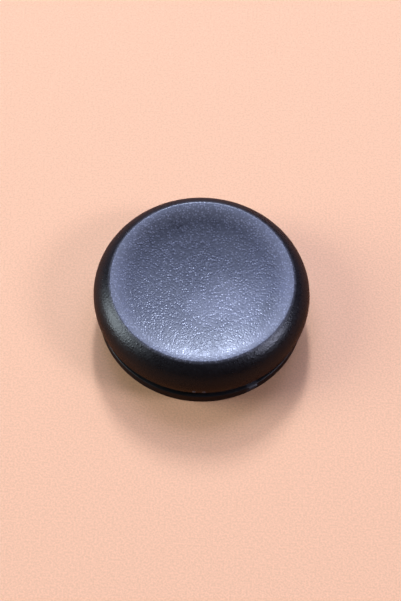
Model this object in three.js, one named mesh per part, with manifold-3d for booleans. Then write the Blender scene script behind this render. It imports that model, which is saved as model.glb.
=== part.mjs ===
// Cap of a handheld console's thumbstick: one moulded black part.
// Millimetres, +Z up. The origin is the centre of the base rim, which rests on Z = 0.
import * as THREE from 'three';
import { mergeVertices } from 'three/addons/utils/BufferGeometryUtils.js';
import Module from 'manifold-3d';

// Outside of the body
const CAP_DIAMETER = 18.0;
const CAP_HEIGHT = 5.2;
// Crest of the dish: its height above the widest ring, its distance in from it, and its own round
const SHOULDER_HEIGHT = 2.2;
const SHOULDER_WIDTH = 1.45;
const CREST_RADIUS = 0.18;
// Thumb dish: a gentle floor, a steeper wall round it, and a soft lip that levels out to the crest
const DISH_DEPTH = 0.6;
const DISH_FLOOR_RADIUS = 4.5;
const DISH_WALL_ANGLE = 11;
const LIP_WIDTH = 0.75;
const LIP_ANGLE = 3;

// Base flange, and the groove between it and the body
const FLANGE_INSET = 0.5;
const FLANGE_THICKNESS = 0.9;
const FLANGE_EDGE_RADIUS = 0.15;
const FOOT_INSET = 0.7;
const GROOVE_WIDTH = 0.4;
const GROOVE_DEPTH = 0.6;

// Hollow underside
const ROOF_THICKNESS = 1.0;
const SKIRT_WALL = 0.9;
const DRAFT_ANGLE = 1.5;
const INNER_FILLET = 0.4;
const BASE_CHAMFER = 0.15;

// Hub that takes the stem, and the ribs that carry it
const HUB_DIAMETER = 6.6;
const HUB_RECESS = 0.5;
const HUB_FILLET = 0.35;
const RIB_COUNT = 4;
const RIB_THICKNESS = 0.7;
const RIB_HEIGHT = 1.7;

// Keyed press-fit socket for the stem
const SOCKET_LENGTH = 3.4;
const SOCKET_WIDTH = 2.6;
const SOCKET_CORNER_RADIUS = 0.3;
const SOCKET_FLOOR = 1.6;
const SOCKET_LEAD_IN = 0.25;
const CRUSH_RIB_RADIUS = 0.3;
const CRUSH_RIB_STAND = 0.12;

const PLASTIC = { color: 0x1b1c20, roughness: 0.5, metalness: 0.0 };

// Fineness of the turned and rounded faces
const TURN_SEGMENTS = 72;
const CORNER_SEGMENTS = 4;

// Places that follow from the sizes above
const OUTER_RADIUS = CAP_DIAMETER / 2;
const EQUATOR_Z = CAP_HEIGHT - SHOULDER_HEIGHT;
const CREST_RING_RADIUS = OUTER_RADIUS - SHOULDER_WIDTH;
const FLANGE_RADIUS = OUTER_RADIUS - FLANGE_INSET;
const FOOT_Z = FLANGE_THICKNESS + GROOVE_WIDTH;
const GROOVE_FLOOR_RADIUS = FLANGE_RADIUS - GROOVE_DEPTH;
const SKIRT_INNER_RADIUS = GROOVE_FLOOR_RADIUS - SKIRT_WALL;
const HUB_RADIUS = HUB_DIAMETER / 2;
const DISH_CENTRE_Z = CAP_HEIGHT - DISH_DEPTH;
const HOLLOW_TOP_Z = DISH_CENTRE_Z - ROOF_THICKNESS;
const SOCKET_TOP_Z = DISH_CENTRE_Z - SOCKET_FLOOR;
const DRAFT = Math.tan(THREE.MathUtils.degToRad(DRAFT_ANGLE));
// How far joined solids run into each other
const OVERLAP = 0.3;

const wasm = await Module();
wasm.setup();

// Points along an arc, as (radius, height), with angles in radians from the outward direction
function arc(centreR, centreZ, radius, from, to, steps) {
  const points = [];
  for (let i = 0; i <= steps; i += 1) {
    const angle = from + (to - from) * i / steps;
    points.push(new THREE.Vector2(centreR + radius * Math.cos(angle), centreZ + radius * Math.sin(angle)));
  }
  return points;
}

// The dish: where it leaves the crest, and its stops, each with its slope.
// Between one stop and the next the slope changes evenly.
const wallSlope = Math.tan(THREE.MathUtils.degToRad(DISH_WALL_ANGLE));
const lipAngle = THREE.MathUtils.degToRad(LIP_ANGLE);
const lipSlope = Math.tan(lipAngle);
const dishRadius = CREST_RING_RADIUS - CREST_RADIUS * Math.sin(lipAngle);
const wallRadius = dishRadius - LIP_WIDTH;
const dishRise = DISH_DEPTH - CREST_RADIUS * (1 - Math.cos(lipAngle));
const wallAndLip = wallSlope * (dishRadius - DISH_FLOOR_RADIUS) + lipSlope * LIP_WIDTH;
const floorSlope = (2 * dishRise - wallAndLip) / wallRadius;
const dishStops = [
  [0, 0],
  [DISH_FLOOR_RADIUS, floorSlope],
  [wallRadius, wallSlope],
  [dishRadius, lipSlope],
];

function dishZ(r) {
  let z = DISH_CENTRE_Z;
  for (let i = 1; i < dishStops.length; i += 1) {
    const [innerR, innerSlope] = dishStops[i - 1];
    const [outerR, outerSlope] = dishStops[i];
    const width = outerR - innerR;
    const part = Math.min(Math.max(r - innerR, 0), width);
    z += innerSlope * part + (outerSlope - innerSlope) * part ** 2 / (2 * width);
  }
  return z;
}

// Points along the dish, or along the roof under it, between two radii
function dishCurve(fromR, toR, drop, steps) {
  const points = [];
  for (let i = 0; i <= steps; i += 1) {
    const r = fromR + (toR - fromR) * i / steps;
    points.push(new THREE.Vector2(r, dishZ(r) - drop));
  }
  return points;
}

// Drafted walls: the hollow narrows upwards, and the hub widens
function skirtInnerR(z) {
  return SKIRT_INNER_RADIUS - DRAFT * z;
}

function hubR(z) {
  return HUB_RADIUS + DRAFT * (z - HUB_RECESS);
}

// Underside: the roof follows the dish, then rounds down into the skirt's wall
function hollowProfile() {
  const roofEdgeR = skirtInnerR(HOLLOW_TOP_Z) - INNER_FILLET;
  const cornerZ = dishZ(roofEdgeR) - ROOF_THICKNESS - INNER_FILLET;
  return [
    ...dishCurve(0, roofEdgeR, ROOF_THICKNESS, 7),
    ...arc(roofEdgeR, cornerZ, INNER_FILLET, Math.PI / 2, 0, CORNER_SEGMENTS).slice(1),
    new THREE.Vector2(skirtInnerR(BASE_CHAMFER), BASE_CHAMFER),
    new THREE.Vector2(skirtInnerR(0) + BASE_CHAMFER, 0),
  ];
}

// Flange, with both edges rounded, and the groove above it
function flangeProfile() {
  const edge = FLANGE_EDGE_RADIUS;
  const edgeR = FLANGE_RADIUS - edge;
  return [
    ...arc(edgeR, edge, edge, -Math.PI / 2, 0, CORNER_SEGMENTS),
    ...arc(edgeR, FLANGE_THICKNESS - edge, edge, 0, Math.PI / 2, CORNER_SEGMENTS),
    new THREE.Vector2(GROOVE_FLOOR_RADIUS, FLANGE_THICKNESS),
    new THREE.Vector2(GROOVE_FLOOR_RADIUS, FOOT_Z),
  ];
}

// Body: one arc from the groove's upper lip out to the widest ring, and one on up to the crest.
// Both are upright at the widest ring, and the upper one is tangent to the crest's round.
function bodyProfile() {
  const underHeight = EQUATOR_Z - FOOT_Z;
  const underRadius = (FOOT_INSET ** 2 + underHeight ** 2) / (2 * FOOT_INSET);
  const underFrom = Math.atan2(-underHeight, underRadius - FOOT_INSET);
  const crestZ = CAP_HEIGHT - CREST_RADIUS;
  const rise = crestZ - EQUATOR_Z;
  const shoulderRadius = (SHOULDER_WIDTH ** 2 + rise ** 2 - CREST_RADIUS ** 2)
    / (2 * (SHOULDER_WIDTH - CREST_RADIUS));
  const shoulderCentreR = OUTER_RADIUS - shoulderRadius;
  const shoulderTo = Math.atan2(rise, CREST_RING_RADIUS - shoulderCentreR);
  const crestTo = Math.PI / 2 + lipAngle;
  return [
    ...arc(OUTER_RADIUS - underRadius, EQUATOR_Z, underRadius, underFrom, 0, 8),
    ...arc(shoulderCentreR, EQUATOR_Z, shoulderRadius, 0, shoulderTo, 12).slice(1),
    ...arc(CREST_RING_RADIUS, crestZ, CREST_RADIUS, shoulderTo, crestTo, 5).slice(1),
  ];
}

// Dish, from the crest in to the axis
function dishProfile() {
  return [
    ...dishCurve(dishRadius, wallRadius, 0, 4).slice(1),
    ...dishCurve(wallRadius, DISH_FLOOR_RADIUS, 0, 3).slice(1),
    ...dishCurve(DISH_FLOOR_RADIUS, 0, 0, 5).slice(1),
  ];
}

// A profile turned about the upright axis
function turned(points) {
  return new THREE.LatheGeometry(points, TURN_SEGMENTS).rotateX(Math.PI / 2);
}

// A geometry as a solid: shared vertices merged, and the slivers at the axis left out
function solidOf(geometry) {
  geometry.deleteAttribute('normal');
  geometry.deleteAttribute('uv');
  const merged = mergeVertices(geometry, 1e-4);
  const index = merged.index.array;
  const triVerts = [];
  for (let i = 0; i < index.length; i += 3) {
    const [a, b, c] = [index[i], index[i + 1], index[i + 2]];
    if (a !== b && b !== c && c !== a) {
      triVerts.push(a, b, c);
    }
  }
  return new wasm.Manifold(new wasm.Mesh({
    numProp: 3,
    vertProperties: new Float32Array(merged.attributes.position.array),
    triVerts: new Uint32Array(triVerts),
  }));
}

function geometryOf(solid) {
  const mesh = solid.getMesh();
  const geometry = new THREE.BufferGeometry();
  geometry.setAttribute('position', new THREE.BufferAttribute(mesh.vertProperties, 3));
  geometry.setIndex(new THREE.BufferAttribute(mesh.triVerts, 1));
  geometry.computeVertexNormals();
  return geometry;
}

// Cap without its hub: dish, shoulder, groove, flange and hollow in one turned outline
function shell() {
  return solidOf(turned([
    ...hollowProfile(),
    ...flangeProfile(),
    ...bodyProfile(),
    ...dishProfile(),
  ]));
}

// Hub: a drafted post that flares into the roof
function hub() {
  const flareR = HUB_RADIUS + HUB_FILLET;
  const flareZ = dishZ(flareR) - ROOF_THICKNESS;
  const filletZ = flareZ - HUB_FILLET;
  const filletR = hubR(filletZ) + HUB_FILLET;
  return solidOf(turned([
    new THREE.Vector2(0, HUB_RECESS),
    new THREE.Vector2(HUB_RADIUS, HUB_RECESS),
    ...arc(filletR, filletZ, HUB_FILLET, Math.PI, Math.PI / 2, CORNER_SEGMENTS),
    new THREE.Vector2(filletR, flareZ + OVERLAP),
    new THREE.Vector2(0, flareZ + OVERLAP),
  ]));
}

// Rib: an upright web between hub and skirt, whose upper edge lies inside the roof
function rib(angle) {
  const innerR = HUB_RADIUS - OVERLAP;
  const outerR = skirtInnerR(0) + OVERLAP;
  const lowerZ = HOLLOW_TOP_Z - RIB_HEIGHT;
  const outline = new THREE.Shape([
    new THREE.Vector2(innerR, lowerZ),
    new THREE.Vector2(outerR, lowerZ),
    ...dishCurve(outerR, innerR, ROOF_THICKNESS - OVERLAP, 6),
  ]);
  const web = new THREE.ExtrudeGeometry(outline, { depth: RIB_THICKNESS, bevelEnabled: false });
  web.translate(0, 0, -RIB_THICKNESS / 2).rotateX(Math.PI / 2).rotateZ(angle);
  return solidOf(web);
}

function roundedRectangle(length, width, radius) {
  const [x, y] = [length / 2 - radius, width / 2 - radius];
  const outline = new THREE.Shape();
  outline.absarc(x, y, radius, 0, Math.PI / 2);
  outline.absarc(-x, y, radius, Math.PI / 2, Math.PI);
  outline.absarc(-x, -y, radius, Math.PI, 1.5 * Math.PI);
  outline.absarc(x, -y, radius, 1.5 * Math.PI, 2 * Math.PI);
  outline.closePath();
  return outline;
}

// Space that the stem fills: a keyed hole with two crush ribs and a flared mouth
function socket() {
  const outline = roundedRectangle(SOCKET_LENGTH, SOCKET_WIDTH, SOCKET_CORNER_RADIUS);
  const holeDepth = SOCKET_TOP_Z - HUB_RECESS + OVERLAP;
  const hole = new THREE.ExtrudeGeometry(outline, {
    depth: holeDepth,
    bevelEnabled: false,
    curveSegments: CORNER_SEGMENTS,
  }).translate(0, 0, SOCKET_TOP_Z - holeDepth);
  const mouth = new THREE.ExtrudeGeometry(outline, {
    depth: OVERLAP,
    bevelThickness: SOCKET_LEAD_IN,
    bevelSize: SOCKET_LEAD_IN,
    bevelSegments: 1,
    curveSegments: CORNER_SEGMENTS,
  }).translate(0, 0, HUB_RECESS - OVERLAP);
  let space = solidOf(hole);
  for (const side of [-1, 1]) {
    const ribY = side * (SOCKET_WIDTH / 2 + CRUSH_RIB_RADIUS - CRUSH_RIB_STAND);
    const crushRib = new THREE.CylinderGeometry(CRUSH_RIB_RADIUS, CRUSH_RIB_RADIUS, 3 * holeDepth, 24);
    crushRib.rotateX(Math.PI / 2).translate(0, ribY, SOCKET_TOP_Z);
    space = space.subtract(solidOf(crushRib));
  }
  return space.add(solidOf(mouth));
}

function thumbstickCap() {
  let solid = shell().add(hub());
  for (let i = 0; i < RIB_COUNT; i += 1) {
    solid = solid.add(rib((i + 0.5) * 2 * Math.PI / RIB_COUNT));
  }
  const cap = new THREE.Mesh(geometryOf(solid.subtract(socket())), new THREE.MeshStandardMaterial(PLASTIC));
  cap.name = 'thumbstick_cap';
  return cap;
}

const group = new THREE.Group();
group.add(thumbstickCap());

export default group;
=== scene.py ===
"""A moulded black thumbstick cap: its turned shell, hub, ribs and stem socket, its grained
plastic, and the small studio that it is photographed in.

Everything is in metres, in the frame of the packed model: +Z up, the base rim on Z = 0,
and the photograph's camera on the -Y side.
"""

import math

import bmesh
import bpy
from bpy.props import FloatProperty, FloatVectorProperty, IntProperty, PointerProperty
from mathutils import Matrix, Vector


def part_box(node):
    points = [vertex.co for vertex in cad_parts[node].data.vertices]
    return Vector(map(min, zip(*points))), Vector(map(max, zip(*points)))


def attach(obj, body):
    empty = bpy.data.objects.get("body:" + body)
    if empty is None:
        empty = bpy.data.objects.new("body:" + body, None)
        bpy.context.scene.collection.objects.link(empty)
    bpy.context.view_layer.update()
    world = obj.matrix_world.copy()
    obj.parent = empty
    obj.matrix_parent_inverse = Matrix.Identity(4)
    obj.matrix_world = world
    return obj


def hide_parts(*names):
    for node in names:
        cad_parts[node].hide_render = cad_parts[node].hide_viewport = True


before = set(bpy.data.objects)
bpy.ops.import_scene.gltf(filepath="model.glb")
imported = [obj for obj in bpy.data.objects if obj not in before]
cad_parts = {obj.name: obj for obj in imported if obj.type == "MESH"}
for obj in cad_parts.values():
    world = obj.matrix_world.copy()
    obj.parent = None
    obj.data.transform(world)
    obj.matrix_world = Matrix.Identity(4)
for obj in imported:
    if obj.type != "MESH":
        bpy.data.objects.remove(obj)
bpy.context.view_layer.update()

bl_info = {
    "name": "Thumbstick cap",
    "version": (1, 0, 0),
    "blender": (4, 5, 0),
    "location": "3D View > Sidebar > Thumbstick cap",
    "description": "Builds a grained plastic thumbstick cap and a small studio around it",
    "category": "Add Mesh",
}

CAP_NODE = "thumbstick_cap"
MM = 0.001

node_low, node_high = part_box(CAP_NODE)
node_size = node_high - node_low


def length(name, description, default_mm):
    """A length that a user would change, given in millimetres and stored in metres."""
    return FloatProperty(
        name=name, description=description, default=default_mm * MM, min=0.0,
        precision=5, step=0.01, unit="LENGTH",
    )


def angle(name, description, degrees):
    """An angle that a user would change."""
    return FloatProperty(
        name=name, description=description, default=math.radians(degrees),
        precision=2, unit="ROTATION",
    )


def share(name, description, default):
    """A plain number from nought to one, such as a roughness."""
    return FloatProperty(name=name, description=description, default=default, min=0.0, max=1.0)


def colour(name, description, default):
    """A linear colour."""
    return FloatVectorProperty(
        name=name, description=description, default=default, size=3, min=0.0, subtype="COLOR",
    )


class CapShape(bpy.types.PropertyGroup):
    """Outside of the cap"""
    diameter: length("Diameter", "Across the widest ring", node_size.x / MM)
    height: length("Height", "From the base rim to the crest", node_size.z / MM)
    shoulder_height: length("Shoulder height", "From the widest ring up to the crest", 2.2)
    shoulder_width: length("Shoulder width", "From the widest ring in to the crest", 1.45)
    crest_radius: length("Crest radius", "Round between shoulder and lip", 0.18)
    dish_depth: length("Dish depth", "From the crest down to the dish's centre", 0.6)
    floor_radius: length("Dish floor radius", "Extent of the dish's gentle middle", 4.5)
    wall_angle: angle("Wall angle", "Steepest slope of the dish, where its wall meets the lip", 11)
    lip_width: length("Lip width", "Width of the soft lip inside the crest", 0.75)
    lip_angle: angle("Lip angle", "Slope left where the lip meets the crest", 3)
    flange_inset: length("Flange inset", "From the widest ring in to the flange's edge", 0.42)
    flange_thickness: length("Flange thickness", "Height of the base flange", 0.9)
    flange_top: length("Flange top edge", "Round along the flange's upper edge", 0.06)
    flange_base: length("Flange base edge", "Round along the flange's lower edge", 0.08)
    foot_inset: length("Foot inset", "From the widest ring in to the groove's upper lip", 0.7)
    groove_width: length("Groove width", "Gap between the flange and the body", 0.4)
    groove_depth: length("Groove depth", "From the flange's edge in to the groove's floor", 0.68)
    turn_steps: IntProperty(
        name="Turn steps", description="Steps of the full turn", default=288, min=24,
    )


class CapUnderside(bpy.types.PropertyGroup):
    """Hollow, hub, ribs and stem socket"""
    roof: length("Roof", "Thickness under the dish", 1.0)
    skirt_wall: length("Skirt wall", "Thickness behind the groove", 0.9)
    draft: angle("Draft", "Taper of the skirt's inner wall and of the hub", 1.5)
    fillet: length("Inner fillet", "Round between roof and skirt", 0.4)
    base_chamfer: length("Base chamfer", "Chamfer inside the base rim", 0.15)
    hub_diameter: length("Hub diameter", "At the hub's end", 6.6)
    hub_recess: length("Hub recess", "From the base up to the hub's end", 0.5)
    hub_fillet: length("Hub fillet", "Round between hub and roof", 0.35)
    hub_edge: length("Hub edge", "Round along the hub's end", 0.12)
    rib_count: IntProperty(
        name="Ribs", description="Ribs between hub and skirt", default=4, min=0,
    )
    rib_thickness: length("Rib thickness", "Thickness of each rib", 0.7)
    rib_height: length("Rib height", "From the roof down to a rib's lower edge", 1.7)
    rib_edge: length("Rib edge", "Round along a rib's lower edges", 0.1)
    socket_length: length("Socket length", "Long side of the stem socket", 3.4)
    socket_width: length("Socket width", "Short side of the stem socket", 2.6)
    socket_corner: length("Socket corner", "Round in the socket's corners", 0.3)
    socket_floor: length("Socket floor", "Plastic between the socket and the dish", 1.6)
    lead_in: length("Lead-in", "Flare at the socket's mouth", 0.25)
    crush_radius: length("Crush rib radius", "Radius of the two crush ribs", 0.3)
    crush_stand: length("Crush rib stand", "How far they stand into the socket", 0.12)


class CapFinish(bpy.types.PropertyGroup):
    """Moulded black plastic"""
    plastic: colour("Plastic", "Colour of the plastic", (0.0075, 0.008, 0.0095))
    # Pits and peaks: painted shade in the dish's grain and painted highlights on it. The two
    # colours after these are the same where the dish has its painted sheen and its paler lip; the
    # paler of them also paints the glints on the pips and the gate's cut.
    pits: colour("Pits", "Colour in the pits of the dish's grain", (0.005, 0.005, 0.006))
    peaks: colour("Peaks", "Colour on the peaks of the dish's grain", (0.052, 0.052, 0.061))
    brightened_pits: colour(
        "Brightened pits", "Colour of the pits where the dish is rubbed most", (0.065, 0.065, 0.072),
    )
    brightened_peaks: colour(
        "Brightened peaks", "Colour of the peaks where the dish is rubbed most", (0.165, 0.165, 0.181),
    )
    dish_roughness: share("Dish roughness", "Roughness on the grained dish", 0.32)
    side_roughness: share("Side roughness", "Roughness on shoulder and body", 0.32)
    flange_roughness: share("Flange roughness", "Roughness on flange and underside", 0.44)
    cut_roughness: share("Cut roughness", "Roughness where the gate was cut off", 0.42)
    grain_size: length("Grain size", "Size of one grain of the moulded texture", 0.175)
    dish_grain: length("Dish grain depth", "Depth of the grain on the dish", 0.0118)
    side_grain: length("Side grain depth", "Depth of the grain on shoulder and body", 0.010)
    wave_size: length("Wave size", "Size of the slow unevenness", 3.2)
    wave_depth: length("Wave depth", "Depth of the slow unevenness", 0.006)


class CapMarks(bpy.types.PropertyGroup):
    """Small marks that the mould left, and the dish's painted sheen"""
    pip_radius: length("Pip radius", "Radius of the two pips low on the body", 0.13)
    pip_stand: length("Pip stand", "How far the pips stand out", 0.055)
    pip_height: length("Pip height", "Height of the pips above the base", 2.45)
    pip_spacing: length("Pip spacing", "Distance between the pips", 0.80)
    pip_azimuth: angle("Pip azimuth", "Direction of the pips from the axis", -89.6)
    gate_length: length("Gate length", "Length of the gate's stub on the flange", 0.8)
    gate_width: length("Gate width", "Width of the stub's cut face", 0.22)
    gate_height: length("Gate height", "Height of the stub, most of it inside the flange", 0.3)
    gate_radius: length("Gate radius", "From the axis to the middle of the cut face", 8.60)
    gate_level: length("Gate level", "Height of the middle of the cut face", 0.79)
    gate_azimuth: angle("Gate azimuth", "Direction of the stub from the axis", -58.6)
    gate_twist: angle("Gate twist", "Turn of the cut face away from that direction", 2)
    gate_lean: angle("Gate lean", "Lean of the cut face outwards", 31)
    smooth_patch: FloatVectorProperty(
        name="Smooth patch", description="Middle of the dish's smoother patch, over the thick hub",
        default=(0.1 * MM, -1.9 * MM, 0), size=3, subtype="TRANSLATION",
    )
    smooth_radius: length("Smooth radius", "Radius at which that patch fades out", 2.0)
    spot: FloatVectorProperty(
        name="Spot", description="Middle of the small smooth spot that the ejector left",
        default=(0.85 * MM, -3.74 * MM, 0), size=3, subtype="TRANSLATION",
    )
    spot_radius: length("Spot radius", "Radius of that spot", 0.5)
    # A painted sheen: the dish is painted paler over a broad patch right of and in front of its
    # middle, where the light falls on it
    painted_sheen_middle: FloatVectorProperty(
        name="Brightened middle", description="Middle of the paler, rubbed part of the dish",
        default=(2.0 * MM, -1.8 * MM, 0), size=3, subtype="TRANSLATION",
    )
    painted_sheen_radius: length("Brightened radius", "Radius at which the rubbed part fades out", 4.2)


class CapStage(bpy.types.PropertyGroup):
    """Floor, lamps and camera"""
    floor_colour: colour("Floor", "Colour of the paper floor", (0.89, 0.495, 0.27))
    far_bounce: colour("Far bounce", "Colour that the floor throws back", (0.22, 0.08, 0.028))
    close_bounce: colour("Close bounce", "The same, close to the cap", (0.34, 0.115, 0.04))
    floor_size: length("Floor size", "Side of the floor", 4000.0)
    room: colour("Room", "Colour and level of the room around the set", (0.045, 0.018, 0.007))
    camera_elevation: angle("Camera elevation", "Angle of the view above the floor", 60.4)
    camera_roll: angle("Camera roll", "Turn of the camera about its own axis", 2.08)
    camera_distance: length("Camera distance", "From the camera to the cap", 200.0)
    picture_scale: FloatProperty(
        name="Picture scale", description="Pixels for each millimetre at the cap", default=12.01,
    )
    picture_place: FloatVectorProperty(
        name="Picture place", description="Pixel at which the cap's widest ring is centred",
        default=(201.65, 293.72), size=2,
    )


# Shape of the picture that the camera takes, in pixels, and the sensor's longer side
PICTURE_WIDTH = 401
PICTURE_HEIGHT = 601
SENSOR = 36.0
CLIP_START = 0.01
CLIP_END = 20

# Steps along each curve of the turned outlines, and round the hub
UNDERCUT_STEPS = 16
SHOULDER_STEPS = 28
CREST_STEPS = 12
LIP_STEPS = 12
DISH_STEPS = 48
FLANGE_BASE_STEPS = 8
FLANGE_TOP_STEPS = 12
ROOF_STEPS = 24
FILLET_STEPS = 8
HUB_EDGE_STEPS = 4
HUB_TURN_STEPS = 96

# Finer parts of the other pieces
RIB_TOP_STEPS = 12
EDGE_SEGMENTS = 3
CORNER_SEGMENTS = 6
CRUSH_SEGMENTS = 32
PIP_SUBDIVISIONS = 3

MERGE_DISTANCE = 1e-3 * MM
LEVEL_TOLERANCE = 1e-6 * MM
SHARP_ANGLE = math.radians(32)


class Lamp:
    """A softbox: its direction from the cap in degrees, its sides, its colour and its power."""

    def __init__(self, name, azimuth, elevation, distance, sides, tint, watts):
        self.name = name
        self.azimuth = math.radians(azimuth)
        self.elevation = math.radians(elevation)
        self.distance = distance
        self.sides = sides
        self.tint = tint
        self.watts = watts


WINDOW_TINT = (0.83, 0.95, 1.27)
SKY_TINT = (0.72, 0.86, 1.53)
LEFT_TINT = (0.87, 1.00, 1.09)
RIGHT_TINT = (0.90, 0.95, 1.27)

LAMPS = (
    Lamp("window_centre", 92, 39, 0.50, (0.05, 0.11), WINDOW_TINT, 1.60),
    Lamp("window_strip", 87, 43, 0.50, (0.80, 0.16), SKY_TINT, 0.63),
    Lamp("window_pane", 109, 47, 0.50, (0.14, 0.16), SKY_TINT, 0.09),
    Lamp("upper_window", 90, 56, 0.50, (0.40, 0.14), SKY_TINT, 0.34),
    Lamp("top_softbox", 90, 85, 0.60, (0.50, 0.30), SKY_TINT, 0.10),
    Lamp("left_window", 117, 60, 0.50, (0.14, 0.22), SKY_TINT, 0.25),
    Lamp("right_window", 62, 56, 0.50, (0.14, 0.14), SKY_TINT, 0.155),
    Lamp("left_softbox", 182, 26, 0.50, (0.26, 0.36), LEFT_TINT, 1.75),
    Lamp("right_softbox", -13, 37, 0.50, (0.12, 0.12), RIGHT_TINT, 0.8),
)


def arc(centre, radius, start, end, steps):
    """Points along an arc, as (radius, height), with angles from the outward direction."""
    points = []
    for i in range(steps + 1):
        turn = start + (end - start) * i / steps
        points.append((centre[0] + radius * math.cos(turn), centre[1] + radius * math.sin(turn)))
    return points


class Dish:
    """The dish's curve: a gentle floor, a steeper wall, and a lip that levels out to the crest."""

    def __init__(self, shape):
        crest_ring = shape.diameter / 2 - shape.shoulder_width
        self.centre_z = shape.height - shape.dish_depth
        self.radius = crest_ring - shape.crest_radius * math.sin(shape.lip_angle)
        self.lip_radius = self.radius - shape.lip_width
        rise = shape.dish_depth - shape.crest_radius * (1 - math.cos(shape.lip_angle))
        wall_slope = math.tan(shape.wall_angle)
        lip_slope = math.tan(shape.lip_angle)
        wall_and_lip = wall_slope * (self.radius - shape.floor_radius) + lip_slope * shape.lip_width
        floor_slope = (2 * rise - wall_and_lip) / self.lip_radius
        self.radii = (0, shape.floor_radius, self.lip_radius, self.radius)
        self.slopes = (0, floor_slope, wall_slope, lip_slope)

    def z(self, r):
        """Height of the dish at a radius: its slope goes evenly from each stop to the next."""
        z = self.centre_z
        for i in range(len(self.radii) - 1):
            width = self.radii[i + 1] - self.radii[i]
            part = min(max(r - self.radii[i], 0), width)
            bend = (self.slopes[i + 1] - self.slopes[i]) / width
            z += self.slopes[i] * part + bend * part ** 2 / 2
        return z + self.slopes[-1] * max(r - self.radius, 0)

    def curve(self, start, end, drop, steps):
        """Points along the dish, or along the roof under it, between two radii."""
        radii = [start + (end - start) * i / steps for i in range(steps + 1)]
        return [(r, self.z(r) - drop) for r in radii]


class Undercut:
    """The body's wall below the widest ring: one arc that ends at the groove's upper lip."""

    def __init__(self, shape):
        self.widest_z = shape.height - shape.shoulder_height
        lip_z = shape.flange_thickness + shape.groove_width
        height = self.widest_z - lip_z
        self.radius = (shape.foot_inset ** 2 + height ** 2) / (2 * shape.foot_inset)
        self.start = math.atan2(-height, self.radius - shape.foot_inset)
        self.centre = (shape.diameter / 2 - self.radius, self.widest_z)

    def wall_radius(self, z):
        """From the cap's axis out to the wall at a height."""
        return self.centre[0] + math.sqrt(self.radius ** 2 - (self.widest_z - z) ** 2)


def body_outline(shape):
    """From the groove's lip out to the widest ring, up the shoulder and over the crest."""
    radius = shape.diameter / 2
    undercut = Undercut(shape)
    crest_ring = radius - shape.shoulder_width
    crest_z = shape.height - shape.crest_radius
    rise = crest_z - undercut.widest_z
    squares = shape.shoulder_width ** 2 + rise ** 2 - shape.crest_radius ** 2
    shoulder_radius = squares / (2 * (shape.shoulder_width - shape.crest_radius))
    shoulder_centre = (radius - shoulder_radius, undercut.widest_z)
    shoulder_end = math.atan2(rise, crest_ring - shoulder_centre[0])
    crest_end = math.pi / 2 + shape.lip_angle
    return [
        *arc(undercut.centre, undercut.radius, undercut.start, 0, UNDERCUT_STEPS),
        *arc(shoulder_centre, shoulder_radius, 0, shoulder_end, SHOULDER_STEPS)[1:],
        *arc((crest_ring, crest_z), shape.crest_radius, shoulder_end, crest_end, CREST_STEPS)[1:],
    ]


def flange_outline(shape):
    """The flange with both edges rounded, and the groove's floor above it."""
    edge_r = shape.diameter / 2 - shape.flange_inset
    floor_r = edge_r - shape.groove_depth
    base, top = shape.flange_base, shape.flange_top
    top_centre = (edge_r - top, shape.flange_thickness - top)
    return [
        *arc((edge_r - base, base), base, -math.pi / 2, 0, FLANGE_BASE_STEPS),
        *arc(top_centre, top, 0, math.pi / 2, FLANGE_TOP_STEPS),
        (floor_r, shape.flange_thickness),
        (floor_r, shape.flange_thickness + shape.groove_width),
    ]


def skirt_inner_radius(shape, under, z):
    """The hollow narrows upwards, so that the moulding leaves its core."""
    groove_floor = shape.diameter / 2 - shape.flange_inset - shape.groove_depth
    return groove_floor - under.skirt_wall - math.tan(under.draft) * z


def hollow_outline(shape, under, dish):
    """From the roof's centre out, and down the skirt's inner wall to the base."""
    top_z = dish.centre_z - under.roof
    roof_edge = skirt_inner_radius(shape, under, top_z) - under.fillet
    corner_z = dish.z(roof_edge) - under.roof - under.fillet
    chamfer = under.base_chamfer
    return [
        *dish.curve(0, roof_edge, under.roof, ROOF_STEPS),
        *arc((roof_edge, corner_z), under.fillet, math.pi / 2, 0, FILLET_STEPS)[1:],
        (skirt_inner_radius(shape, under, chamfer), chamfer),
        (skirt_inner_radius(shape, under, 0) + chamfer, 0),
    ]


def turned(outline, steps):
    """A bmesh of an outline turned once about the upright axis, closed at its poles."""
    bm = bmesh.new()
    verts = [bm.verts.new((r, 0, z)) for r, z in outline]
    edges = [bm.edges.new(pair) for pair in zip(verts, verts[1:])]
    bmesh.ops.spin(
        bm, geom=verts + edges, cent=(0, 0, 0), axis=(0, 0, 1), dvec=(0, 0, 0),
        angle=2 * math.pi, steps=steps, use_merge=True,
    )
    bmesh.ops.remove_doubles(bm, verts=bm.verts, dist=MERGE_DISTANCE)
    bmesh.ops.recalc_face_normals(bm, faces=bm.faces)
    return bm


def turn_about(bm, axis, turn):
    """Turns the whole of a bmesh about an axis through the origin."""
    bmesh.ops.rotate(bm, cent=(0, 0, 0), matrix=Matrix.Rotation(turn, 3, axis), verts=bm.verts)


def as_object(name, bm):
    """A mesh object from a bmesh, which is then freed."""
    mesh = bpy.data.meshes.new(name)
    bm.to_mesh(mesh)
    bm.free()
    piece = bpy.data.objects.new(name, mesh)
    bpy.context.scene.collection.objects.link(piece)
    return piece


def combine(piece, tool, operation):
    """Joins a tool to a piece or cuts it out, and removes the tool."""
    modifier = piece.modifiers.new(operation.lower(), "BOOLEAN")
    modifier.operation = operation
    modifier.solver = "MANIFOLD"
    modifier.object = tool
    bpy.context.view_layer.update()
    depsgraph = bpy.context.evaluated_depsgraph_get()
    result = bpy.data.meshes.new_from_object(piece.evaluated_get(depsgraph))
    piece.modifiers.clear()
    old = piece.data
    if len(result.vertices) == len(old.vertices):
        raise RuntimeError(f"{tool.name} did not change {piece.name}")
    piece.data = result
    bpy.data.meshes.remove(old)
    result.name = piece.name
    bpy.data.meshes.remove(tool.data)


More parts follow.
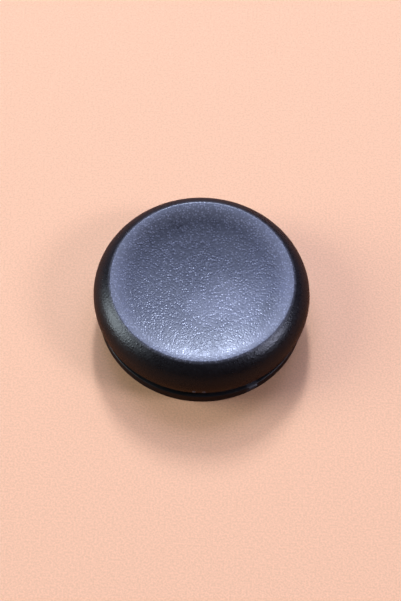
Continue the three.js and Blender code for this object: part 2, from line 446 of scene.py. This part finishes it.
def shell(shape, under, dish):
    """The cap without its hub: dish, shoulder, groove, flange and hollow in one turn."""
    return turned([
        *hollow_outline(shape, under, dish),
        *flange_outline(shape),
        *body_outline(shape),
        *dish.curve(dish.radius, dish.lip_radius, 0, LIP_STEPS)[1:],
        *dish.curve(dish.lip_radius, 0, 0, DISH_STEPS)[1:],
    ], shape.turn_steps)


def hub(shape, under, dish):
    """A drafted post with a rounded end, which flares into the roof and ends inside it."""
    radius = under.hub_diameter / 2
    edge = under.hub_edge
    flare_r = radius + under.hub_fillet
    flare_z = dish.z(flare_r) - under.roof
    fillet_z = flare_z - under.hub_fillet
    side_r = radius + math.tan(under.draft) * (fillet_z - under.hub_recess)
    fillet_centre = (side_r + under.hub_fillet, fillet_z)
    top_z = flare_z + under.roof / 3
    return turned([
        (0, under.hub_recess),
        *arc((radius - edge, under.hub_recess + edge), edge, -math.pi / 2, 0, HUB_EDGE_STEPS),
        *arc(fillet_centre, under.hub_fillet, math.pi, math.pi / 2, FILLET_STEPS),
        (fillet_centre[0], top_z),
        (0, top_z),
    ], HUB_TURN_STEPS)


def rib(shape, under, dish, turn):
    """An upright web between hub and skirt, whose ends and upper edge are sunk in them."""
    end_sink = under.skirt_wall / 3
    top_sink = under.roof * 0.3
    inner = under.hub_diameter / 2 - end_sink
    outer = skirt_inner_radius(shape, under, 0) + end_sink
    lower = dish.centre_z - under.roof - under.rib_height
    top = dish.curve(outer, inner, under.roof - top_sink, RIB_TOP_STEPS)
    outline = [(inner, lower), (outer, lower), *top]
    bm = bmesh.new()
    side = bm.faces.new([bm.verts.new((r, -under.rib_thickness / 2, z)) for r, z in outline])
    grown = bmesh.ops.extrude_face_region(bm, geom=[side])
    far_side = [v for v in grown["geom"] if isinstance(v, bmesh.types.BMVert)]
    bmesh.ops.translate(bm, vec=(0, under.rib_thickness, 0), verts=far_side)
    bmesh.ops.recalc_face_normals(bm, faces=bm.faces)
    lower_edges = [
        edge for edge in bm.edges
        if all(abs(v.co.z - lower) < LEVEL_TOLERANCE for v in edge.verts)
        and abs(edge.verts[0].co.x - edge.verts[1].co.x) > under.rib_thickness
    ]
    bmesh.ops.bevel(
        bm, geom=lower_edges, offset=under.rib_edge, segments=EDGE_SEGMENTS, profile=0.5,
        affect="EDGES", material=-1,
    )
    turn_about(bm, "Z", turn)
    return bm


def socket(under, top_z):
    """The space that the stem fills: a rounded hole with a flared mouth."""
    bm = bmesh.new()
    bmesh.ops.create_grid(bm, x_segments=1, y_segments=1, size=0.5)
    sides = Vector((under.socket_length, under.socket_width, 1))
    bmesh.ops.scale(bm, vec=sides, verts=bm.verts)
    bmesh.ops.bevel(
        bm, geom=bm.verts[:], offset=under.socket_corner, segments=CORNER_SEGMENTS, profile=0.5,
        affect="VERTICES", material=-1,
    )
    bmesh.ops.translate(bm, vec=(0, 0, top_z), verts=bm.verts)
    flare = [(s + 2 * under.lead_in) / s for s in sides[:2]]
    levels = (
        (under.hub_recess + under.lead_in, (1, 1, 1)),
        (under.hub_recess, (*flare, 1)),
        (0, (1, 1, 1)),
    )
    end = bm.faces[:]
    z = top_z
    for level, scale in levels:
        # The edges go in with the face, so that the extrusion leaves no face inside
        end = bmesh.ops.extrude_face_region(bm, geom=end)["geom"]
        verts = [v for v in end if isinstance(v, bmesh.types.BMVert)]
        bmesh.ops.translate(bm, vec=(0, 0, level - z), verts=verts)
        bmesh.ops.scale(bm, vec=scale, verts=verts)
        z = level
    bmesh.ops.recalc_face_normals(bm, faces=bm.faces)
    return bm


def crush_rib(under, top_z, side):
    """A small half-round rib that the stem squeezes as it goes in."""
    bm = bmesh.new()
    depth = 2 * (top_z - under.hub_recess - under.lead_in)
    y = side * (under.socket_width / 2 + under.crush_radius - under.crush_stand)
    bmesh.ops.create_cone(
        bm, cap_ends=True, segments=CRUSH_SEGMENTS, radius1=under.crush_radius,
        radius2=under.crush_radius, depth=depth, matrix=Matrix.Translation((0, y, top_z)),
    )
    return bm


def pip_centre(shape, marks, side):
    """Where a pip sits on the wall, low on the body."""
    surface = Undercut(shape).wall_radius(marks.pip_height)
    turn = marks.pip_azimuth + side * marks.pip_spacing / 2 / surface
    return Vector((surface * math.cos(turn), surface * math.sin(turn), marks.pip_height))


def pip(marks, centre):
    """A small round-ended pip: half of it is sunk in the wall."""
    bm = bmesh.new()
    bmesh.ops.create_icosphere(bm, subdivisions=PIP_SUBDIVISIONS, radius=marks.pip_radius)
    bmesh.ops.scale(bm, vec=(1, marks.pip_stand / marks.pip_radius, 1), verts=bm.verts)
    turn_about(bm, "Z", marks.pip_azimuth + math.pi / 2)
    bmesh.ops.translate(bm, vec=centre, verts=bm.verts)
    return bm


def gate_stub(marks):
    """What the cutter left of the gate: a low stub on the flange, whose cut face leans outwards."""
    bm = bmesh.new()
    bmesh.ops.create_cube(bm, size=1)
    sides = (marks.gate_width, marks.gate_length, marks.gate_height)
    bmesh.ops.scale(bm, vec=sides, verts=bm.verts)
    edge_round = marks.gate_width / 8
    bmesh.ops.bevel(
        bm, geom=bm.edges[:], offset=edge_round, segments=EDGE_SEGMENTS, profile=0.5,
        affect="EDGES", material=-1,
    )
    bmesh.ops.translate(bm, vec=(0, 0, -marks.gate_height / 2), verts=bm.verts)
    turn_about(bm, "Y", marks.gate_lean)
    turn_about(bm, "Z", marks.gate_twist)
    bmesh.ops.translate(bm, vec=(marks.gate_radius, 0, marks.gate_level), verts=bm.verts)
    turn_about(bm, "Z", marks.gate_azimuth)
    return bm


class Nodes:
    """Short calls for building one material's nodes."""

    def __init__(self, material):
        material.use_nodes = True
        self.tree = material.node_tree
        self.shader = self.tree.nodes["Principled BSDF"]

    def add(self, kind, settings=(), inputs=()):
        """A node with its settings, and its inputs as values or as other nodes' sockets."""
        node = self.tree.nodes.new(kind)
        for name, value in dict(settings).items():
            setattr(node, name, value)
        for name, value in dict(inputs).items():
            if isinstance(value, bpy.types.NodeSocket):
                self.tree.links.new(value, node.inputs[name])
            else:
                node.inputs[name].default_value = value
        return node

    def math(self, operation, a, b):
        """One sum, product or the like of two numbers."""
        return self.add("ShaderNodeMath", {"operation": operation}, {0: a, 1: b}).outputs[0]

    def ramp(self, value, start, end, low=0.0, high=1.0):
        """A number that goes smoothly from low to high as value goes from start to end."""
        return self.add(
            "ShaderNodeMapRange", {"interpolation_type": "SMOOTHSTEP"},
            {"Value": value, "From Min": start, "From Max": end, "To Min": low, "To Max": high},
        ).outputs["Result"]

    def vector_math(self, operation, inputs, output=0):
        """One sum, product, length or the like of vectors."""
        node = self.add("ShaderNodeVectorMath", {"operation": operation}, enumerate(inputs))
        return node.outputs[output]

    def reach(self, place):
        """The distance from an upright line through the origin."""
        flat = self.vector_math("MULTIPLY", (place, (1, 1, 0)))
        return self.vector_math("LENGTH", (flat,), "Value")

    def near(self, place, middle, start, end):
        """One near an upright line through a middle, which fades to none between two radii."""
        offset = self.vector_math("SUBTRACT", (place, middle))
        return self.ramp(self.reach(offset), end, start)

    def mix(self, factor, a, b):
        """One number or the other, by a factor."""
        settings = {"data_type": "FLOAT"}
        return self.add("ShaderNodeMix", settings, {0: factor, 2: a, 3: b}).outputs[0]

    def mix_colour(self, factor, a, b):
        """One colour or the other, by a factor."""
        settings = {"data_type": "RGBA"}
        return self.add("ShaderNodeMix", settings, {0: factor, 6: a, 7: b}).outputs[2]

    def bump(self, height):
        """Normals for a height in metres."""
        inputs = {"Strength": 1.0, "Distance": 1.0, "Height": height}
        return self.add("ShaderNodeBump", (), inputs).outputs["Normal"]

    def noise(self, place, size, detail, roughness=0.5):
        """A noise texture whose features are about a size across."""
        inputs = {"Vector": place, "Scale": 1 / size, "Detail": detail, "Roughness": roughness}
        return self.add("ShaderNodeTexNoise", (), inputs)


# Where the plastic's finishes fade into each other: how far outside the crest's ring, below the
# dish's middle, above the flange, and inside the groove's floor
CREST_FADE = (0.30 * MM, 0.05 * MM)
ROOF_FADE = (0.3 * MM, 0.1 * MM)
BODY_FADE = 0.3 * MM
SKIRT_FADE = (0.6 * MM, 0.3 * MM)
# How far inside the crest's ring the lip's paleness and its shallow grain start and are full
PALE_LIP = (1.9 * MM, 0.4 * MM)
SHALLOW_LIP = (1.4 * MM, 0.2 * MM)
# How far behind the axis the dish's grain starts to get shallower, and is shallowest
SHALLOW_BACK = (2 * MM, 6 * MM)
# How far the edge of the painted sheen in the middle strays
WANDER = 4 * MM
# Where the smooth patch, the smooth spot, the gate's cut and the pips' painted glints start to
# fade, or start and end, as shares of their own radius or length
PATCH_START = 0.3
SPOT_START = 0.7
GATE_REACH = (0.5, 0.8)
PIP_REACH = (0.9, 1.2)
# How far above the flange the cut, with its gloss and painted glint, ends and is full
GATE_ABOVE = (0.2 * MM, 0.1 * MM)
# How pale the lip is, and how strong the painted sheen on the smooth patch is, next to the painted
# sheen in the middle
LIP_PALENESS = 0.8
PATCH_PAINTED_SHEEN = 0.6
# Share of the grain's depth that is left on the smooth patch and spot, on the lip, at the back,
# and on the flange and underside
PATCH_DEPTH = 0.65
LIP_DEPTH = 0.33
BACK_DEPTH = 0.6
LOWER_DEPTH = 0.3
# Pebbles: the distances at which a pebble's side starts and ends, and the lowest one's height
PEBBLE_SIDE = (0.75, 0.10)
LOWEST_PEBBLE = 0.32
# Heights of the grain at which its colour is a pit's painted shade and a peak's painted highlight,
# and where between them the colour of a smooth place lies
PIT_TO_PEAK = (0.10, 0.80)
SMOOTH_TONE = 0.4
# How strong the painted glint on the gate's cut is, and how much the gloss changes by pebble and,
# over the usual range of the slow unevenness, from place to place
CUT_GLINT = 0.28
WAVE_RANGE = (0.3, 0.7)
UNEVEN_GLOSS = 0.03
PEBBLE_GLOSS = 0.05
PLASTIC_IOR = 1.53


def plastic_material(shape, marks, finish):
    """Black moulded plastic: grained on the dish, with painted shade and highlights in its grain, a
    painted sheen and a paler lip, grained on the sides, plain below.
    """
    material = bpy.data.materials.new("black_moulded_plastic")
    nodes = Nodes(material)
    place = nodes.add("ShaderNodeTexCoord").outputs["Object"]
    radius = nodes.reach(place)
    separate = nodes.add("ShaderNodeSeparateXYZ", (), {0: place})
    y, z = separate.outputs["Y"], separate.outputs["Z"]

    # Where the surface is dish, side, or flange and underside
    crest_ring = shape.diameter / 2 - shape.shoulder_width
    dish_floor = shape.height - shape.dish_depth
    flange = shape.flange_thickness
    in_dish = nodes.ramp(radius, crest_ring + CREST_FADE[0], crest_ring + CREST_FADE[1])
    above_roof = nodes.ramp(z, dish_floor - ROOF_FADE[0], dish_floor - ROOF_FADE[1])
    dish = nodes.math("MULTIPLY", in_dish, above_roof)
    above_flange = nodes.ramp(z, flange, flange + BODY_FADE)
    skirt = shape.diameter / 2 - shape.flange_inset - shape.groove_depth
    outside = nodes.ramp(radius, skirt - SKIRT_FADE[0], skirt - SKIRT_FADE[1])
    side = nodes.math("MULTIPLY", above_flange, nodes.math("MAXIMUM", outside, dish))

    # Where the dish is paler: along the lip, and with a painted sheen on the smooth patch and over
    # a broad patch off its middle
    pale_lip = nodes.ramp(radius, crest_ring - PALE_LIP[0], crest_ring - PALE_LIP[1])
    drift = nodes.noise(place, finish.wave_size, detail=2.0).outputs["Color"]
    stretch, shift = (WANDER,) * 3, (-WANDER / 2,) * 3
    wander = nodes.vector_math("MULTIPLY_ADD", (drift, stretch, shift))
    wandered = nodes.vector_math("ADD", (place, wander))
    painted_sheen_middle = nodes.near(wandered, marks.painted_sheen_middle, 0.0, marks.painted_sheen_radius)
    patch_start = marks.smooth_radius * PATCH_START
    patch = nodes.near(place, marks.smooth_patch, patch_start, marks.smooth_radius)
    lip_paleness = nodes.math("MULTIPLY", pale_lip, LIP_PALENESS)
    brightened = nodes.math("MAXIMUM", lip_paleness, nodes.math("MULTIPLY", patch, PATCH_PAINTED_SHEEN))
    brightened = nodes.math("MAXIMUM", brightened, painted_sheen_middle)

    # Where its grain is shallow, and where the gate was cut
    spot = nodes.near(place, marks.spot, marks.spot_radius * SPOT_START, marks.spot_radius)
    shallow = nodes.mix(nodes.math("MAXIMUM", patch, spot), 1.0, PATCH_DEPTH)
    gate_x = marks.gate_radius * math.cos(marks.gate_azimuth)
    gate_y = marks.gate_radius * math.sin(marks.gate_azimuth)
    gate_reach = [marks.gate_length * part for part in GATE_REACH]
    near_gate = nodes.near(place, (gate_x, gate_y, 0), *gate_reach)
    on_flange = nodes.ramp(z, flange + GATE_ABOVE[0], flange + GATE_ABOVE[1])
    cut = nodes.math("MULTIPLY", near_gate, on_flange)

    # Where the two pips get painted glints: pale patches round each pip
    pip_reach = [marks.pip_radius * part for part in PIP_REACH]
    pip_glints = [
        nodes.near(place, pip_centre(shape, marks, hand), *pip_reach)
        for hand in (-1, 1)
    ]
    pip_tops = (marks.pip_height + 2 * marks.pip_radius, marks.pip_height + marks.pip_radius)
    low = nodes.ramp(z, *pip_tops)
    painted_pip_glints = nodes.math("MULTIPLY", nodes.math("MAXIMUM", *pip_glints), low)

    # Grain: small pebbles, each of its own height, over a slow unevenness
    cell_size = {"Vector": place, "Scale": 1 / finish.grain_size}
    pebbles = nodes.add("ShaderNodeTexVoronoi", (), cell_size)
    lot_colour = {"Color": pebbles.outputs["Color"]}
    lot = nodes.add("ShaderNodeSeparateColor", (), lot_colour).outputs["Red"]
    dome = nodes.ramp(pebbles.outputs["Distance"], *PEBBLE_SIDE)
    grain = nodes.math("MULTIPLY", dome, nodes.ramp(lot, 0.0, 1.0, LOWEST_PEBBLE, 1.0))
    wave = nodes.noise(place, finish.wave_size, detail=1.0, roughness=0.4).outputs["Fac"]
    lip = nodes.ramp(radius, crest_ring - SHALLOW_LIP[0], crest_ring - SHALLOW_LIP[1])
    lip_depth = nodes.mix(lip, finish.dish_grain, finish.dish_grain * LIP_DEPTH)
    towards_back = nodes.ramp(y, *SHALLOW_BACK, 1.0, BACK_DEPTH)
    dish_share = nodes.math("MULTIPLY", shallow, towards_back)
    dish_depth = nodes.math("MULTIPLY", dish_share, lip_depth)
    lower_depth = nodes.mix(cut, finish.side_grain * LOWER_DEPTH, 0.0)
    depth = nodes.mix(dish, nodes.mix(side, lower_depth, finish.side_grain), dish_depth)
    relief = nodes.math("MULTIPLY", grain, depth)
    swell = nodes.math("MULTIPLY", wave, finish.wave_depth)
    normal = nodes.bump(nodes.math("ADD", relief, swell))

    # Colour: painted highlights on the peaks of the dish's grain and painted shade in its pits,
    # paler along the lip and under the painted sheen
    peak = nodes.mix(shallow, SMOOTH_TONE, nodes.ramp(grain, *PIT_TO_PEAK))
    pit_tone = nodes.mix_colour(brightened, (*finish.pits, 1), (*finish.brightened_pits, 1))
    peak_tone = nodes.mix_colour(brightened, (*finish.peaks, 1), (*finish.brightened_peaks, 1))
    grained = nodes.mix_colour(peak, pit_tone, peak_tone)
    # Painted glints: the pips and the gate's cut are painted pale on the plain plastic
    pale = nodes.math("MAXIMUM", painted_pip_glints, nodes.math("MULTIPLY", cut, CUT_GLINT))
    moulded = nodes.mix_colour(pale, (*finish.plastic, 1), (*finish.brightened_peaks, 1))
    tone = nodes.mix_colour(dish, moulded, grained)

    # Gloss: a little different from grain to grain, and from place to place
    lower = nodes.mix(cut, finish.flange_roughness, finish.cut_roughness)
    sides = nodes.mix(side, lower, finish.side_roughness)
    base_roughness = nodes.mix(dish, sides, finish.dish_roughness)
    uneven = nodes.ramp(wave, *WAVE_RANGE, -UNEVEN_GLOSS, UNEVEN_GLOSS)
    speckle = nodes.ramp(lot, 0.0, 1.0, PEBBLE_GLOSS, -PEBBLE_GLOSS)
    roughness = nodes.math("ADD", base_roughness, nodes.math("ADD", uneven, speckle))

    shader = nodes.shader
    nodes.tree.links.new(tone, shader.inputs["Base Color"])
    nodes.tree.links.new(roughness, shader.inputs["Roughness"])
    nodes.tree.links.new(normal, shader.inputs["Normal"])
    shader.inputs["IOR"].default_value = PLASTIC_IOR
    return material


# Size and depth of the paper's tooth, and the range of its height over which the tint changes
PAPER_TOOTH = 0.16 * MM
TOOTH_DEPTH = 0.02 * MM
TOOTH_RANGE = (0.25, 0.75)
TOOTH_TINTS = (0.93, 1.07)
PAPER_ROUGHNESS = 0.75
PAPER_SPECULAR = 0.1
# Distances from the cap's axis between which the close bounce turns into the far one
CLOSE_FADE = (10 * MM, 16 * MM)


def paper_material(stage):
    """Matt paper with a faint tooth, deeper in tone where it lights the cap than to the eye."""
    material = bpy.data.materials.new("pale_paper")
    nodes = Nodes(material)
    place = nodes.add("ShaderNodeTexCoord").outputs["Object"]
    tooth = nodes.noise(place, PAPER_TOOTH, detail=1.0).outputs["Fac"]
    normal = nodes.bump(nodes.math("MULTIPLY", tooth, TOOTH_DEPTH))
    nodes.tree.links.new(normal, nodes.shader.inputs["Normal"])
    dark, light = [(*[tint * c for c in stage.floor_colour], 1) for tint in TOOTH_TINTS]
    speckled = nodes.mix_colour(nodes.ramp(tooth, *TOOTH_RANGE), dark, light)
    close = nodes.near(place, (0, 0, 0), *CLOSE_FADE)
    thrown = nodes.mix_colour(close, (*stage.far_bounce, 1), (*stage.close_bounce, 1))
    seen = nodes.add("ShaderNodeLightPath").outputs["Is Camera Ray"]
    tone = nodes.mix_colour(seen, thrown, speckled)
    nodes.tree.links.new(tone, nodes.shader.inputs["Base Color"])
    nodes.shader.inputs["Roughness"].default_value = PAPER_ROUGHNESS
    nodes.shader.inputs["Specular IOR Level"].default_value = PAPER_SPECULAR
    return material


class THUMBCAP_OT_cap(bpy.types.Operator):
    """Build the cap as one moulded piece, and dress it in its plastic"""
    bl_idname = "thumbcap.cap"
    bl_label = "Thumbstick cap"

    def execute(self, context):
        """Turn the shell, join hub, ribs and marks to it, and cut the stem socket."""
        shape = context.scene.thumbcap_shape
        under = context.scene.thumbcap_underside
        marks = context.scene.thumbcap_marks
        dish = Dish(shape)
        piece = as_object("thumbstick_cap_moulding", shell(shape, under, dish))
        combine(piece, as_object("hub", hub(shape, under, dish)), "UNION")
        for i in range(under.rib_count):
            turn = (i + 0.5) * 2 * math.pi / under.rib_count
            combine(piece, as_object("rib", rib(shape, under, dish, turn)), "UNION")
        socket_top = dish.centre_z - under.socket_floor
        space = as_object("socket", socket(under, socket_top))
        for side in (-1, 1):
            combine(space, as_object("crush_rib", crush_rib(under, socket_top, side)), "DIFFERENCE")
        combine(piece, space, "DIFFERENCE")
        for side in (-1, 1):
            combine(piece, as_object("pip", pip(marks, pip_centre(shape, marks, side))), "UNION")
        combine(piece, as_object("gate", gate_stub(marks)), "UNION")
        piece.data.shade_smooth()
        piece.data.set_sharp_from_angle(angle=SHARP_ANGLE)
        piece.data.materials.clear()
        piece.data.materials.append(plastic_material(shape, marks, context.scene.thumbcap_finish))
        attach(piece, "root")
        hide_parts(CAP_NODE)
        return {"FINISHED"}


def direction(azimuth, elevation):
    """The unit vector that points there from the cap."""
    across = math.cos(elevation)
    return Vector((across * math.cos(azimuth), across * math.sin(azimuth), math.sin(elevation)))


def add_lamp(lamp, centre):
    """A softbox that faces the cap."""
    light = bpy.data.lights.new(lamp.name, "AREA")
    light.shape = "RECTANGLE"
    light.size, light.size_y = lamp.sides
    light.color = lamp.tint
    light.energy = lamp.watts
    holder = bpy.data.objects.new(lamp.name, light)
    towards = direction(lamp.azimuth, lamp.elevation)
    holder.location = centre + lamp.distance * towards
    holder.rotation_euler = towards.to_track_quat("Z", "Y").to_euler()
    bpy.context.scene.collection.objects.link(holder)


def add_camera(stage, centre):
    """The photograph's camera: its elevation, roll, distance and framing."""
    data = bpy.data.cameras.new("photo_camera")
    pixels_per_metre = stage.picture_scale / MM
    focal_pixels = pixels_per_metre * stage.camera_distance
    data.sensor_width = SENSOR
    data.sensor_fit = "AUTO"
    data.lens = focal_pixels / PICTURE_HEIGHT * SENSOR
    data.clip_start = CLIP_START
    data.clip_end = CLIP_END
    back = direction(-math.pi / 2, stage.camera_elevation)
    level_up = Vector((0, math.sin(stage.camera_elevation), math.cos(stage.camera_elevation)))
    roll = Matrix.Rotation(stage.camera_roll, 3, back)
    right = roll @ Vector((1, 0, 0))
    up = roll @ level_up
    # The cap isn't at the picture's centre, so the camera moves across by the difference
    across = (PICTURE_WIDTH / 2 - stage.picture_place[0]) / pixels_per_metre
    upward = (stage.picture_place[1] - PICTURE_HEIGHT / 2) / pixels_per_metre
    camera = bpy.data.objects.new("photo_camera", data)
    place = centre + back * stage.camera_distance + right * across + up * upward
    axes = Matrix((right, up, back)).transposed().to_4x4()
    camera.matrix_world = Matrix.Translation(place) @ axes
    bpy.context.scene.collection.objects.link(camera)
    bpy.context.scene.camera = camera


class THUMBCAP_OT_stage(bpy.types.Operator):
    """Lay the floor and set the lamps and the camera"""
    bl_idname = "thumbcap.stage"
    bl_label = "Floor, lamps and camera"

    def execute(self, context):
        """Make the plain set that the cap stands in."""
        scene = context.scene
        stage = scene.thumbcap_stage
        shape = scene.thumbcap_shape
        bm = bmesh.new()
        bmesh.ops.create_grid(bm, x_segments=1, y_segments=1, size=stage.floor_size / 2)
        floor = as_object("paper_floor", bm)
        floor.data.materials.append(paper_material(stage))
        centre = Vector((0, 0, shape.height - shape.shoulder_height))
        for lamp in LAMPS:
            add_lamp(lamp, centre)
        add_camera(stage, centre)
        world = bpy.data.worlds.new("room")
        world.use_nodes = True
        background = world.node_tree.nodes["Background"]
        background.inputs["Color"].default_value = (*stage.room, 1)
        scene.world = world
        scene.view_settings.view_transform = "Standard"
        return {"FINISHED"}


class THUMBCAP_PT_panel(bpy.types.Panel):
    """Lists the cap's sizes and the two steps that build it"""
    bl_idname = "THUMBCAP_PT_panel"
    bl_label = "Thumbstick cap"
    bl_space_type = "VIEW_3D"
    bl_region_type = "UI"
    bl_category = "Thumbstick cap"

    def draw(self, context):
        """Draw each group of settings, and the buttons under them."""
        for name, group in GROUPS.items():
            box = self.layout.box()
            box.label(text=group.__doc__)
            settings = getattr(context.scene, name)
            for key in group.__annotations__:
                box.prop(settings, key)
        self.layout.operator(THUMBCAP_OT_cap.bl_idname)
        self.layout.operator(THUMBCAP_OT_stage.bl_idname)


GROUPS = {
    "thumbcap_shape": CapShape,
    "thumbcap_underside": CapUnderside,
    "thumbcap_marks": CapMarks,
    "thumbcap_finish": CapFinish,
    "thumbcap_stage": CapStage,
}
CLASSES = (*GROUPS.values(), THUMBCAP_OT_cap, THUMBCAP_OT_stage, THUMBCAP_PT_panel)


def register():
    """Add the classes, and hang their settings on the scene."""
    for cls in CLASSES:
        bpy.utils.register_class(cls)
    for name, group in GROUPS.items():
        setattr(bpy.types.Scene, name, PointerProperty(type=group))


def unregister():
    """Take the settings and the classes away again."""
    for name in GROUPS:
        delattr(bpy.types.Scene, name)
    for cls in reversed(CLASSES):
        bpy.utils.unregister_class(cls)


def main():
    """Build the cap and its stage."""
    register()
    bpy.ops.thumbcap.cap()
    bpy.ops.thumbcap.stage()


if __name__ == "__main__":
    main()
